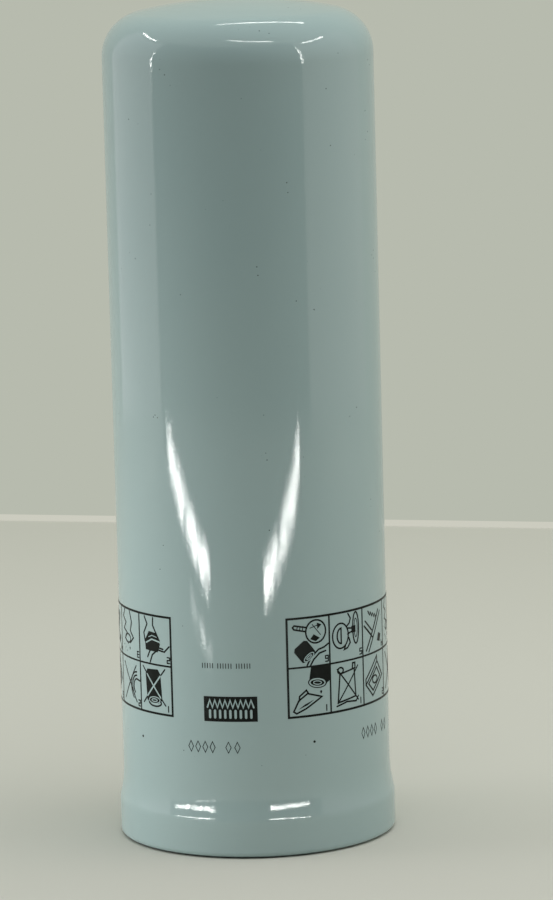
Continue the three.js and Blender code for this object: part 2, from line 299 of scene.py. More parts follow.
def canSkin(depth):  # from the lip up to the crown, depth millimetres under the paint
    bendZ = can["rimBottom"] + can["rimBend"]
    bendR = can["skirtRadius"] - can["rimBend"]
    line = list(arcPoints(bendR, bendZ, can["rimBend"] - depth, -90, 0, 12))
    spread = can["skirtRadius"] - can["bodyRadius"]
    slope = 2 * spread / (can["flareTop"] - can["skirtTop"])
    line.append((can["skirtRadius"] - depth, bendZ + 0.8))
    line.append((can["skirtRadius"] - depth, can["skirtTop"] - 0.6))
    convex = can["flareBend"] - can["skirtTop"]
    for k in range(9):
        z = can["skirtTop"] + convex * k / 8
        line.append((can["skirtRadius"] - slope * (z - can["skirtTop"]) ** 2 / (2 * convex) - depth, z))
    concave = can["flareTop"] - can["flareBend"]
    for k in range(1, 21):
        z = can["flareBend"] + concave * k / 20
        line.append((can["bodyRadius"] + slope * (can["flareTop"] - z) ** 2 / (2 * concave) - depth, z))
    crownCentre = can["top"] - can["crownRadius"]
    shoulderR = can["bodyRadius"] - can["shoulderRadius"]
    rise = math.sqrt((can["crownRadius"] - can["shoulderRadius"]) ** 2 - shoulderR ** 2)
    shoulderZ = crownCentre + rise
    meet = math.degrees(math.atan2(rise, shoulderR))
    line.append((can["bodyRadius"] - depth, can["flareTop"] + 0.8))
    for z in (60, 120, 180, 240, 300):
        line.append((can["bodyRadius"] - depth, z))
    line.append((can["bodyRadius"] - depth, shoulderZ - 0.8))
    line += list(arcPoints(shoulderR, shoulderZ, can["shoulderRadius"] - depth, 0, meet, 34))
    line += list(arcPoints(0, crownCentre, can["crownRadius"] - depth, meet, 90, 14))[1:-1]
    line.append((0, can["top"] - depth))
    return line


def buildCan():
    lipIn, low, wall = can["lipRadius"], can["rimBottom"], can["wall"]
    edge = [(lipIn + 0.5, low + wall), (lipIn + 0.15, low + wall - 0.15), (lipIn, low + wall - 0.5),
            (lipIn, low + 0.5), (lipIn + 0.15, low + 0.15), (lipIn + 0.5, low)]
    profile = list(reversed(canSkin(wall))) + edge + canSkin(0)
    verts, faces = spinProfile(profile, can["sides"], closed=False)
    settle(addPiece("can_shell", verts, faces, canPaint, 40), "shell", "can_paint", "can")


buildCan()
print("can turned")


# base plate, its thread, gasket and seals

plate = {
    "majorRadius": 31.75, "minorRadius": 30.62, "threadPitch": 25.4 / 12, "hubRadius": 36.5, "top": 15.0,
    "grooveIn": 48.4, "grooveOut": 54.2, "grooveTop": 7.3, "sealGap": 0.4, "sealDepth": 2.9,
    "boreChamfer": 1.0, "threadClear": 0.08, "threadLead": 1.6, "threadFade": 30,
    "inletCount": 8, "inletRadius": 4.75, "inletCircle": 42.3, "sides": 160,
}
plateLow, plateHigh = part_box("base_plate")
plateBottom, hubTop, plateRadius = plateLow.z / mm, plateHigh.z / mm, plateHigh.x / mm


def buildPlate():
    sealLow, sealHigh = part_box("plate_seal")
    grooveLow, grooveHigh = sealLow.z / mm - plate["sealGap"], sealHigh.z / mm + plate["sealGap"]
    floor, bore, chamfer = plateRadius - plate["sealDepth"], plate["majorRadius"], plate["boreChamfer"]
    profile = [
        (bore + chamfer, plateBottom), (plate["grooveIn"], plateBottom),
        (plate["grooveIn"], plate["grooveTop"]), (plate["grooveOut"], plate["grooveTop"]),
        (plate["grooveOut"], plateBottom), (plateRadius - 1.6, plateBottom), (plateRadius, plateBottom + 1.6),
        (plateRadius, grooveLow), (floor, grooveLow), (floor, grooveHigh), (plateRadius, grooveHigh),
        (plateRadius, plate["top"] - 1.2), (plateRadius - 1.2, plate["top"]),
        (plate["hubRadius"], plate["top"]), (plate["hubRadius"], hubTop), (bore + chamfer, hubTop),
        (bore, hubTop - chamfer), (bore, plateBottom + chamfer),
    ]
    body = turnedPiece("hub_plate", profile, platedSteel, 0.3, plate["sides"])
    drills, hole, circle = bmesh.new(), plate["inletRadius"] * mm, plate["inletCircle"]
    for i in range(plate["inletCount"]):
        a = 2 * math.pi * (i + 0.5) / plate["inletCount"]
        where = Vector((circle * math.cos(a), circle * math.sin(a), plate["top"] / 2)) * mm
        bmesh.ops.create_cone(drills, cap_ends=True, segments=40, radius1=hole, radius2=hole,
                              depth=2 * plate["top"] * mm, matrix=Matrix.Translation(where))
    mesh = bpy.data.meshes.new("drills")
    drills.to_mesh(mesh)
    drills.free()
    cutter = bpy.data.objects.new("drills", mesh)
    scene.collection.objects.link(cutter)
    cut = body.modifiers.new("inlets", "BOOLEAN")
    cut.object, cut.operation, cut.solver = cutter, "DIFFERENCE", "EXACT"
    bpy.context.view_layer.update()
    done = bpy.data.meshes.new_from_object(body.evaluated_get(bpy.context.evaluated_depsgraph_get()))
    body.modifiers.clear()
    body.data = done
    body.data.set_sharp_from_angle(angle=math.radians(32))
    bpy.data.objects.remove(cutter)
    settle(body, "shell", "plate_steel", "base_plate")


def buildThread():  # one helical ridge on the wall of the bore
    pitch, crest = plate["threadPitch"], plate["minorRadius"]
    root = plate["majorRadius"] + plate["threadClear"]
    low, high = plateBottom + plate["threadLead"], hubTop - plate["threadLead"]
    turns, perTurn = (high - low) / pitch, 96
    steps = int(turns * perTurn)
    centres, frames = [], []
    for k in range(steps + 1):
        a = 2 * math.pi * k / perTurn
        out = Vector((math.cos(a), math.sin(a), 0))
        fade = min(1, k / plate["threadFade"], (steps - k) / plate["threadFade"])
        centres.append((out * root + Vector((0, 0, low + pitch * k / perTurn))) * mm)
        frames.append((out * -mm * max(fade, 0.05) * (root - crest), Vector((0, 0, mm * pitch))))
    section = [(0, -0.44), (0.93, -0.07), (1.0, 0.0), (0.93, 0.07), (0, 0.44)]
    verts, faces = sweep(centres, frames, section)
    settle(addPiece("hub_thread", verts, faces, platedSteel), "shell", "plate_steel")


gasket = {"cornerRound": 0.275, "ridge": 0.35, "grooveGap": 0.3}


def buildGasket():
    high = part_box("gasket")[1]
    outer, top = high.x / mm, high.z / mm
    inner = plate["grooveIn"] + gasket["grooveGap"]
    third = (outer - inner) / 3
    profile = [
        (inner, 0.4), (inner + 0.4, 0.0), (inner + third, 0.0), (inner + third + 0.2, gasket["ridge"]),
        (outer - third - 0.2, gasket["ridge"]), (outer - third, 0.0), (outer - 0.4, 0.0), (outer, 0.4),
        (outer, top), (inner, top),
    ]
    settle(turnedPiece("mounting_gasket", profile, blackRubber, gasket["cornerRound"], plate["sides"]),
           "shell", "gasket_rubber", "gasket")


def buildEdgeSeal():
    low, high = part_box("plate_seal")
    middle, section = (low.z + high.z) / 2 / mm, (high.z - low.z) / 2 / mm
    profile = list(arcPoints(high.x / mm - section, middle, section, 0, 337.5, 15))
    verts, faces = spinProfile(profile, 128)
    settle(addPiece("edge_seal", verts, faces, blackRubber), "shell", "gasket_rubber", "plate_seal")


buildPlate()
buildThread()
buildGasket()
buildEdgeSeal()
print("plate, thread and gasket made")

# drain-back flap and hub grommet

flap = {"thick": 1.0, "outer": 52.0, "collar": 36.8}


def buildFlap():
    low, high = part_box("drainback_flap")
    z, collar = low.z / mm, flap["collar"]
    profile = [
        (collar, z), (collar + 1.4, z), (collar + 2.2, z + 2.4), (collar + 5.5, z + 2.2), (49.5, z + 0.2),
        (50.5, z), (flap["outer"], z), (flap["outer"], z + flap["thick"]), (50.2, z + 1.1),
        (collar + 6, z + 3.3), (collar + 3, high.z / mm), (collar, high.z / mm),
    ]
    settle(turnedPiece("flap_ring", profile, redRubber, 0.35, 128), "flap", "flap_rubber", "drainback_flap")


grommet = {"bore": 32.0, "capGap": 0.3}


def buildGrommet():
    low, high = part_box("hub_grommet")
    bottom, top, outer = low.z / mm, high.z / mm, high.x / mm
    inner, face = grommet["bore"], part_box("lower_end_cap")[0].z / mm - grommet["capGap"]
    profile = [
        (inner, bottom), (outer, bottom), (outer, face), (inner + 1.9, face), (inner + 0.9, face + 0.8),
        (inner + 0.9, top), (inner, top),
    ]
    settle(turnedPiece("grommet_ring", profile, blackRubber, 0.4, 128),
           "element", "gasket_rubber", "hub_grommet")


buildFlap()
buildGrommet()
print("flap and grommet made")

# filter element

element = {
    "sheet": 0.8, "bore": 33.2, "outer": 56.0, "capSkirt": 9.0, "boreSkirt": 7.0, "ledge": 21.7,
    "pottingBore": 34.3,
}


def capProfile(face, side, inner):  # pressed channel with two stiffening steps in its floor
    s, outer = element["sheet"] * side, element["outer"]
    step = 0.6 * side
    rim = element["capSkirt"] * side
    return [
        (inner, face), (inner + 3, face), (inner + 4.5, face + step * 0.6), (outer - 8, face + step * 0.6),
        (outer - 6.5, face), (outer, face), (outer, face + rim), (outer - element["sheet"], face + rim),
        (outer - element["sheet"], face + s), (outer - 6.8, face + s), (outer - 8, face + step * 0.6 + s),
        (inner + 4.5, face + step * 0.6 + s), (inner + 3, face + s),
    ]


def buildCaps():
    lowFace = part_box("lower_end_cap")[0].z / mm
    profile = capProfile(lowFace, 1, element["bore"])
    wall = element["bore"] + element["sheet"]
    skirtTop = lowFace + element["boreSkirt"]
    profile += [(wall, lowFace + element["sheet"]), (wall, skirtTop), (element["bore"], skirtTop)]
    settle(turnedPiece("pressed_cap_low", profile, zincSteel, 0.4, 144),
           "element", "zinc_steel", "lower_end_cap")
    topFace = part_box("upper_end_cap")[1].z / mm
    profile = capProfile(topFace, -1, element["ledge"])
    profile += [(element["ledge"], topFace - element["sheet"])]
    settle(turnedPiece("pressed_cap_high", profile, zincSteel, 0.4, 144),
           "element", "zinc_steel", "upper_end_cap")


def buildPotting():  # glue that creeps up the rims a little
    for name, node, side in (("potting_low", "lower_bond", 1), ("potting_high", "upper_bond", -1)):
        low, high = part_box(node)
        base, face = (low.z, high.z) if side > 0 else (high.z, low.z)
        base, face = base / mm, face / mm
        inner, outer = element["pottingBore"], high.x / mm
        edge, floor = face - 0.5 * side, face - 0.7 * side
        profile = [(inner, base), (outer, base), (outer, face), (outer - 1.2, edge), (outer - 4, floor),
                   (inner + 4, floor), (inner + 1.2, edge), (inner, face)]
        settle(turnedPiece(name, profile, pottingGlue, 0.4, 128), "element", "potting", node)


pleatPack = {
    "count": 40, "tip": 54.4, "root": 34.8, "tipHalf": 1.0, "rootHalf": 0.85, "sheet": 0.7, "rows": 18,
    "sway": 0.072, "swayRadius": 34.0, "seed": 4,
}


def buildPleats():
    rng = random.Random(pleatPack["seed"])
    low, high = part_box("pleated_media")
    count, tip, root, half = pleatPack["count"], pleatPack["tip"], pleatPack["root"], pleatPack["sheet"] / 2
    fold = ((-1, 0), (-0.6, 0.75), (0, 0.95), (0.6, 0.75), (1, 0))  # a round fold: sideways, outward
    middle = []
    for i in range(count):  # midline of the folded sheet
        a = 2 * math.pi * i / count
        b = a + math.pi / count
        middle += [(tip - 1.0 + reach, a + share * pleatPack["tipHalf"] / tip) for share, reach in fold]
        middle += [(root + 1.0 - reach, b + share * pleatPack["rootHalf"] / root) for share, reach in fold]
    flat = [Vector((r * math.cos(a), r * math.sin(a))) for r, a in middle]
    n, rings = len(flat), []
    for sign in (1, -1):
        ring = []
        for i, p in enumerate(flat):
            along = (flat[(i + 1) % n] - flat[i - 1]).normalized()
            ring.append(p + Vector((along.y, -along.x)) * half * sign)
        rings.append(ring)
    sways = [rng.uniform(-1, 1) for _ in range(count)]
    swing = pleatPack["sway"] / pleatPack["swayRadius"]
    verts, faces = [], []
    for row in range(pleatPack["rows"] + 1):
        t = row / pleatPack["rows"]
        z = (low.z + (high.z - low.z) * t) / mm
        for ring in rings:
            for i, p in enumerate(ring):
                lean = sways[i * count // n] * swing * math.sin(math.pi * t)
                c, s = math.cos(lean), math.sin(lean)
                verts.append(((p.x * c - p.y * s) * mm, (p.x * s + p.y * c) * mm, z * mm))
    for row in range(pleatPack["rows"]):
        for k in range(2):
            here, over = row * 2 * n + k * n, (row + 1) * 2 * n + k * n
            for i in range(n):
                j = (i + 1) % n
                faces.append((here + i, here + j, over + j, over + i))
    for row in (0, pleatPack["rows"]):
        base = row * 2 * n
        for i in range(n):
            j = (i + 1) % n
            faces.append((base + i, base + j, base + n + j, base + n + i))
    settle(addPiece("pleat_pack", verts, faces, filterPaper, 50),
           "element", "filter_paper", "pleated_media")


tube = {"around": 18, "rows": 44, "holeRadius": 2.1, "sheet": 0.8, "margin": 6.0}


def buildTube():  # rolled tube with round punched holes, row by row
    low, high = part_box("centre_tube")
    outer = high.x / mm
    inner = outer - tube["sheet"]
    bottom, top, margin = low.z / mm, high.z / mm, tube["margin"]
    cellHeight = (top - bottom - 2 * margin) / tube["rows"]
    cellWide = 2 * math.pi * outer / tube["around"]
    verts, faces, index = [], [], {}

    def point(u, v, radius):
        key = (round(u % (cellWide * tube["around"]), 3), round(v, 3), radius)
        if abs(key[0] - round(cellWide * tube["around"], 3)) < 2e-3:
            key = (0.0, key[1], radius)
        if key not in index:
            a = u / outer
            index[key] = len(verts)
            verts.append((radius * math.cos(a) * mm, radius * math.sin(a) * mm, v * mm))
        return index[key]

    def face(*corners):  # each corner is its place round the tube, its height and its radius
        faces.append(tuple(point(*corner) for corner in corners))

    def strip(us, vs, radius, flip):  # plain band of quads between two levels
        for u0, u1 in zip(us, us[1:]):
            quad = [point(u, v, radius) for u, v in ((u0, vs[0]), (u1, vs[0]), (u1, vs[1]), (u0, vs[1]))]
            faces.append(tuple(reversed(quad)) if flip else tuple(quad))

    edge = [cellWide * k / 4 for k in range(4 * tube["around"] + 1)]
    for radius, flip in ((outer, False), (inner, True)):
        strip(edge, (bottom, bottom + margin), radius, flip)
        strip(edge, (top - margin, top), radius, flip)
    for level in (bottom, top):
        for u0, u1 in zip(edge, edge[1:]):
            face((u0, level, outer), (u1, level, outer), (u1, level, inner), (u0, level, inner))
    for row in range(tube["rows"]):
        for i in range(tube["around"]):
            u, v = i * cellWide, bottom + margin + row * cellHeight
            centre = (u + cellWide / 2, v + cellHeight / 2)
            border = [(u + cellWide * k / 4, v) for k in range(4)]
            border += [(u + cellWide, v + cellHeight * k / 4) for k in range(4)]
            border += [(u + cellWide * (4 - k) / 4, v + cellHeight) for k in range(4)]
            border += [(u, v + cellHeight * (4 - k) / 4) for k in range(4)]
            hole = []
            for x, y in border:
                a = math.atan2(y - centre[1], x - centre[0])
                hole.append((centre[0] + tube["holeRadius"] * math.cos(a),
                             centre[1] + tube["holeRadius"] * math.sin(a)))
            for k in range(len(border)):
                m = (k + 1) % len(border)
                for radius in (outer, inner):
                    face((*border[k], radius), (*border[m], radius), (*hole[m], radius), (*hole[k], radius))
                face((*hole[k], outer), (*hole[m], outer), (*hole[m], inner), (*hole[k], inner))
    settle(addPiece("perforated_tube", verts, faces, zincSteel, 30), "element", "zinc_steel", "centre_tube")


bead = {"wide": 0.5, "high": 0.62, "inset": 0.42, "gap": 3.2, "swell": 0.08, "steps": 240, "seed": 11}


def buildBeads():
    rng = random.Random(bead["seed"])
    for number in (1, 2, 3):
        low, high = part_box("pleat_bead_%d" % number)
        z, radius = (low.z + high.z) / 2, high.x - bead["inset"] * mm
        waves = [(rng.uniform(20, 60), rng.uniform(0, 6.28)) for _ in range(3)]
        centres, frames, gap = [], [], math.radians(bead["gap"])
        for k in range(bead["steps"] + 1):
            a = math.pi / 2 + gap + (2 * math.pi - 2 * gap) * k / bead["steps"]
            out = Vector((math.cos(a), math.sin(a), 0))
            swell = 1 + bead["swell"] * sum(math.sin(a * rate + phase) for rate, phase in waves)
            centres.append(out * radius + Vector((0, 0, z)))
            frames.append((out * bead["wide"] * mm * swell, Vector((0, 0, bead["high"] * mm * swell))))
        section = [(math.cos(2 * math.pi * i / 10), math.sin(2 * math.pi * i / 10)) for i in range(10)]
        verts, faces = sweep(centres, frames, section)
        settle(addPiece("glue_bead_%d" % number, verts, faces, hotGlue),
               "element", "hot_melt", "pleat_bead_%d" % number)


buildCaps()
buildPotting()
buildPleats()
buildTube()
buildBeads()
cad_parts["seam_clip"].data.materials.clear()
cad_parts["seam_clip"].data.materials.append(zincSteel)
print("element built")

# bypass valve and the two springs

bypass = {
    "seatHole": 11.0, "seatCup": 21.4, "stem": 2.5, "cage": 17.8, "cageSides": 96,
    "windows": 4, "windowWide": 50, "windowLow": 4, "windowHigh": 19,
}


def buildBypassSeat():
    low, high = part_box("bypass_seat")
    floor, flange, cup, hole = low.z / mm, high.z / mm, bypass["seatCup"], bypass["seatHole"]
    profile = [
        (hole, floor), (cup, floor), (cup, flange - 1), (high.x / mm, flange - 1), (high.x / mm, flange),
        (cup - 1, flange), (cup - 1, floor + 1), (hole + 1.4, floor + 1), (hole, floor + 1.9),
        (hole - 0.8, floor + 1.9), (hole - 0.8, floor + 0.9),
    ]
    settle(turnedPiece("valve_seat", profile, zincSteel, 0.35, 128), "element", "zinc_steel", "bypass_seat")


def buildCage():  # cup with open windows between its legs
    low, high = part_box("bypass_cage")
    floor, top, wall = low.z / mm, high.z / mm, bypass["cage"]
    inner, flange, guide = wall - 1, high.x / mm, bypass["stem"] + 0.4
    sides, verts, faces = bypass["cageSides"], [], []
    levels = [floor, floor + 1, floor + bypass["windowLow"], floor + bypass["windowHigh"], top - 1, top]

    def rim(radius, z):
        start = len(verts)
        for i in range(sides):
            a = 2 * math.pi * i / sides
            verts.append((radius * math.cos(a) * mm, radius * math.sin(a) * mm, z * mm))
        return [start + i for i in range(sides)]

    def inWindow(i):
        share = (i / sides * bypass["windows"]) % 1
        return share < bypass["windowWide"] / (360 / bypass["windows"])

    out = [rim(wall, z) for z in levels[:5]]
    ins = [rim(inner, z) for z in levels[1:]]
    hole = [rim(guide, levels[0]), rim(guide, levels[1])]
    lip = [rim(flange, levels[4]), rim(flange, levels[5])]

    def band(a, b, keep=lambda i: True):
        for i in range(sides):
            if keep(i):
                j = (i + 1) % sides
                faces.append((a[i], a[j], b[j], b[i]))

    for a, b in ((hole[0], out[0]), (hole[0], hole[1]), (hole[1], ins[0])):
        band(a, b)
    for k in range(4):
        band(out[k], out[k + 1], (lambda i: not inWindow(i)) if k == 2 else (lambda i: True))
    for k in range(4):
        band(ins[k], ins[k + 1], (lambda i: not inWindow(i)) if k == 1 else (lambda i: True))
    for a, b in ((out[4], lip[0]), (lip[0], lip[1]), (lip[1], ins[4])):
        band(a, b)
    for i in range(sides):
        j = (i + 1) % sides
        if inWindow(i):
            faces.append((out[2][i], out[2][j], ins[1][j], ins[1][i]))
            faces.append((out[3][i], out[3][j], ins[2][j], ins[2][i]))
        if inWindow(i) != inWindow(j):
            faces.append((out[2][j], out[3][j], ins[2][j], ins[1][j]))
    settle(addPiece("valve_cage", verts, faces, zincSteel), "element", "zinc_steel", "bypass_cage")


def buildPoppet():
    low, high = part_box("bypass_facing")
    hole = bypass["stem"] + 0.3
    a, b, r = low.z / mm, high.z / mm, high.x / mm
    settle(turnedPiece("poppet_facing", [(hole, a), (r, a), (r, b), (hole, b)], redRubber, 0.3, 96),
           "bypass", "flap_rubber", "bypass_facing")
    low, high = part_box("bypass_disc")
    a, b, r = low.z / mm, high.z / mm, high.x / mm
    disc = [(hole, a), (6.5, a), (7.2, a + 0.25), (9.2, a + 0.25), (10, a), (r, a), (r, b), (hole, b)]
    settle(turnedPiece("poppet_disc", disc, platedSteel, 0.25, 96), "bypass", "plate_steel", "bypass_disc")
    low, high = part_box("bypass_stem")
    a, b, s = low.z / mm, high.z / mm, bypass["stem"]
    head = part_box("bypass_facing")[1].z / mm + 0.3
    profile = [(0, a), (s - 0.9, a), (s - 0.3, a + 0.25), (s, a + 0.8), (s, head), (s + 1.7, head),
               (s + 2, head + 0.3), (s + 1.6, head + 1.0), (s + 0.6, b - 0.1), (0, b)]
    verts, faces = spinProfile(profile, 48, closed=False)
    settle(addPiece("poppet_stem", verts, faces, springSteel), "bypass", "spring_steel", "bypass_stem")


springs = {
    "elementCoil": 30.0, "elementWire": 3.0, "elementTurns": 5.5, "valveCoil": 8.0, "valveWire": 1.4,
    "valveTurns": 6, "perTurn": 48, "wireSides": 12, "pitchSway": 0.012, "cupBore": 26.4, "cupLedge": 4,
}


def coilSpring(name, radius, wire, low, high, turns):  # the first and last half turns lie flat
    perTurn = springs["perTurn"]
    count = int(turns * perTurn)
    centres, frames = [], []
    for k in range(count + 1):
        turn = k / perTurn
        rise = min(1, max(0, (turn - 0.5) / (turns - 1)))
        rise -= springs["pitchSway"] * math.sin(2 * math.pi * rise)
        a = 2 * math.pi * turn
        out = Vector((math.cos(a), math.sin(a), 0))
        centres.append((out * radius + Vector((0, 0, low + (high - low) * rise))) * mm)
        frames.append((out * wire / 2 * mm, Vector((0, 0, wire / 2 * mm))))
    n = springs["wireSides"]
    section = [(math.cos(2 * math.pi * i / n), math.sin(2 * math.pi * i / n)) for i in range(n)]
    verts, faces = sweep(centres, frames, section)
    return addPiece(name, verts, faces, springSteel)


def buildSprings():
    low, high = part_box("element_spring")
    coil, wire, half = springs["elementCoil"], springs["elementWire"], springs["elementWire"] / 2
    a, b = low.z / mm + half, high.z / mm - half
    spring = coilSpring("hold_down_spring", coil, wire, a, b, springs["elementTurns"])
    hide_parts("element_spring")
    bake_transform(spring)
    low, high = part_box("bypass_spring")
    coil, wire, half = springs["valveCoil"], springs["valveWire"], springs["valveWire"] / 2
    a, b = low.z / mm + half, high.z / mm - half
    spring = coilSpring("valve_spring", coil, wire, a, b, springs["valveTurns"])
    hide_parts("bypass_spring")
    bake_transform(spring)
    low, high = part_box("spring_seat")
    bottom, top, outer = low.z / mm, high.z / mm, high.x / mm
    inner, lip = springs["cupBore"], outer - springs["cupLedge"]
    profile = [(inner, bottom), (outer, bottom), (outer, bottom + 1), (lip, bottom + 1), (lip, top),
               (lip - 1, top), (lip - 1, bottom + 1), (inner, bottom + 1)]
    settle(turnedPiece("spring_cup", profile, zincSteel, 0.4, 128), "element", "zinc_steel", "spring_seat")


buildBypassSeat()
buildCage()
buildPoppet()
buildSprings()
print("valve and springs made")

# print on the can: step panels, a block of bars, batch marks

label = {
    "cellWide": 21.6, "cellHigh": 23.1, "columns": 5, "panelBottom": 65.4,
    "rightStart": 15.5, "leftEnd": -41.1, "gapLift": 0.03, "layerStep": 0.003, "layers": 7,
    "frameLine": 1.05, "dividerLine": 0.85, "iconLine": 0.80, "inkHeight": 0.045, "sink": 0.02, "slice": 1.5,
    "frontBlock": (-24.2, 64.5, 25.2, 11.8), "backBlock": (176.0, 70.0, 40.0, 19.0),  # left, bottom, size
    "ticks": (-24.4, 90.7, 22.4),  # left, middle height, length
    "batchStarts": (-32.6, 56.4, 140.0), "batchHeight": 52.3, "dotPlaces": (-62.1, 27.8), "dotHeight": 53.0,
    "dotRadius": 0.62,
}
inkParts, gapParts = ([], []), ([], [])  # vertices and faces of the ink, then of the pale lines over it
layer = {"count": 0}


def onCan(u, z, lift):
    r, a = can["bodyRadius"] + lift, u / can["bodyRadius"]
    return (r * math.sin(a) * mm, -r * math.cos(a) * mm, z * mm)


def inkTop(parts):  # small steps in height keep crossing strokes from lying in one surface
    layer["count"] += 1
    over = label["gapLift"] if parts is gapParts else 0
    return label["inkHeight"] + over + label["layerStep"] * (layer["count"] % label["layers"])


def addSheet(parts, lows, highs):  # closed thin solid between two rows of points on the can
    verts, faces = parts
    top, count, base = inkTop(parts), len(lows), len(verts)
    for lift in (top, -label["sink"]):
        verts.extend(onCan(u, z, lift) for u, z in lows)
        verts.extend(onCan(u, z, lift) for u, z in highs)
    outLow, outHigh, inLow, inHigh = (base + k * count for k in range(4))
    for i in range(count - 1):
        faces.append((outLow + i, outLow + i + 1, outHigh + i + 1, outHigh + i))
        faces.append((inLow + i + 1, inLow + i, inHigh + i, inHigh + i + 1))
        faces.append((inLow + i, inLow + i + 1, outLow + i + 1, outLow + i))
        faces.append((outHigh + i, outHigh + i + 1, inHigh + i + 1, inHigh + i))
    for i, turnOver in ((0, False), (count - 1, True)):
        end = (inLow + i, outLow + i, outHigh + i, inHigh + i)
        faces.append(end[::-1] if turnOver else end)


def resample(points, closed):
    out = []
    loop = points + points[:1] if closed else points
    for (u0, z0), (u1, z1) in zip(loop, loop[1:]):
        n = max(1, math.ceil(abs(u1 - u0) / label["slice"]))
        out += [(u0 + (u1 - u0) * k / n, z0 + (z1 - z0) * k / n) for k in range(n)]
    return out if closed else out + [points[-1]]


def stroke(points, width, parts=inkParts, closed=False):
    line = [Vector(p) for p in resample(list(points), closed)]
    if not closed:  # short tapered tips read as round ends
        tipA, tipB = (line[0] - line[1]).normalized(), (line[-1] - line[-2]).normalized()
        line = [line[0] + tipA * width * 0.42] + line + [line[-1] + tipB * width * 0.42]
    n, lows, highs = len(line), [], []
    for i, p in enumerate(line):
        before = line[i - 1] if closed or i else p
        after = line[(i + 1) % n] if closed or i < n - 1 else p
        a = (p - before).normalized() if (p - before).length > 1e-6 else (after - p).normalized()
        b = (after - p).normalized() if (after - p).length > 1e-6 else a
        side = Vector((-a.y - b.y, a.x + b.x))
        side = side.normalized() if side.length > 1e-6 else Vector((-a.y, a.x))
        reach = width / 2 / max(0.5, side.dot(Vector((-a.y, a.x))))
        if not closed and i in (0, n - 1):
            reach *= 0.45
        lows.append(p - side * reach)
        highs.append(p + side * reach)
    if closed:
        lows.append(lows[0])
        highs.append(highs[0])
    addSheet(parts, lows, highs)


def patch(outline):  # filled convex outline, cut into columns that follow the curve
    us = sorted({round(u, 4) for u, z in outline})
    cuts = []
    for a, b in zip(us, us[1:]):
        n = max(1, math.ceil((b - a) / label["slice"]))
        cuts += [a + (b - a) * k / n for k in range(n)]
    cuts.append(us[-1])
    lows, highs = [], []
    for u in cuts:
        hits = []
        for (u0, z0), (u1, z1) in zip(outline, outline[1:] + outline[:1]):
            if min(u0, u1) - 1e-4 <= u <= max(u0, u1) + 1e-4:
                t = 0 if abs(u1 - u0) < 1e-6 else min(1, max(0, (u - u0) / (u1 - u0)))
                hits += [z0 + (z1 - z0) * t] if abs(u1 - u0) >= 1e-6 else [z0, z1]
        low, high = min(hits), max(hits)
        if high - low < 0.02:
            low, high = low - 0.01, high + 0.01
        lows.append((u, low))
        highs.append((u, high))
    addSheet(inkParts, lows, highs)


def oval(cx, cy, rx, ry, start=0, stop=360, steps=24, turn=0):
    c, s = math.cos(math.radians(turn)), math.sin(math.radians(turn))
    for k in range(steps + (0 if stop - start == 360 else 1)):
        a = math.radians(start + (stop - start) * k / steps)
        x, y = rx * math.cos(a), ry * math.sin(a)
        yield (cx + x * c - y * s, cy + x * s + y * c)


class Cell:  # one square of a step panel; places are in millimetres from its lower left corner
    def __init__(self, left, bottom):
        self.left, self.bottom = left, bottom

    def put(self, points):
        return [(self.left + x, self.bottom + y) for x, y in points]

    def line(self, *points, width=None, closed=False):
        stroke(self.put(points), width or label["iconLine"], inkParts, closed)

    def fill(self, *points):
        patch(self.put(points))

    def gap(self, *points, width=0.45, closed=False):
        stroke(self.put(points), width, gapParts, closed)

    def ring(self, cx, cy, rx, ry, width=None, turn=0):
        self.line(*oval(cx, cy, rx, ry, turn=turn), width=width, closed=True)

    def blackCan(self, cx, cy, wide, tall, turn):  # filled filter outline with its open end as an oval
        c, s = math.cos(math.radians(turn)), math.sin(math.radians(turn))
        w, h = wide / 2, tall / 2
        shape = [(-w, h * 0.7), (-w * 0.7, h), (w * 0.7, h), (w, h * 0.7), (w, -h), (w * 0.5, -h - w * 0.3),
                 (-w * 0.5, -h - w * 0.3), (-w, -h)]
        self.fill(*((cx + x * c - y * s, cy + x * s + y * c) for x, y in shape))
        end = (cx + h * s, cy - h * c)
        self.gap(*oval(end[0], end[1], w * 0.72, w * 0.3, turn=turn), closed=True)
        self.gap(*oval(end[0], end[1], w * 0.36, w * 0.12, turn=turn, steps=16), closed=True)

    def cross(self, x0, y0, x1, y1, over=None):
        for a, b in (((x0, y0), (x1, y1)), ((x0, y1), (x1, y0))):
            self.line(a, b, width=0.7)
            if over:
                m = [(a[0] * (1 - t) + b[0] * t, a[1] * (1 - t) + b[1] * t) for t in over]
                self.gap(*m, width=0.75)

    def drop(self, cx, cy, size):
        outline = ((0, -1.1), (0.55, -0.1), (0.45, 0.4), (0, 0.62), (-0.45, 0.4), (-0.55, -0.1))
        self.fill(*((cx + size * x, cy + size * y) for x, y in outline))

    def numeral(self, digit):  # step number, upside down like the rest of the print
        bars = {1: "bc", 2: "abged", 3: "abgcd", 4: "fgbc", 5: "afgcd", 6: "afgedc"}[digit]
        x, y, w, h = 19.2, 1.5, 1.5, 2.7
        ends = {
            "a": ((0, 0), (1, 0)), "b": ((0, 0), (0, 0.5)), "c": ((0, 0.5), (0, 1)), "d": ((0, 1), (1, 1)),
            "e": ((1, 0.5), (1, 1)), "f": ((1, 0), (1, 0.5)), "g": ((0, 0.5), (1, 0.5)),
        }
        for bar in bars:
            self.line(*((x + w * a, y + h * b) for a, b in ends[bar]), width=0.62)


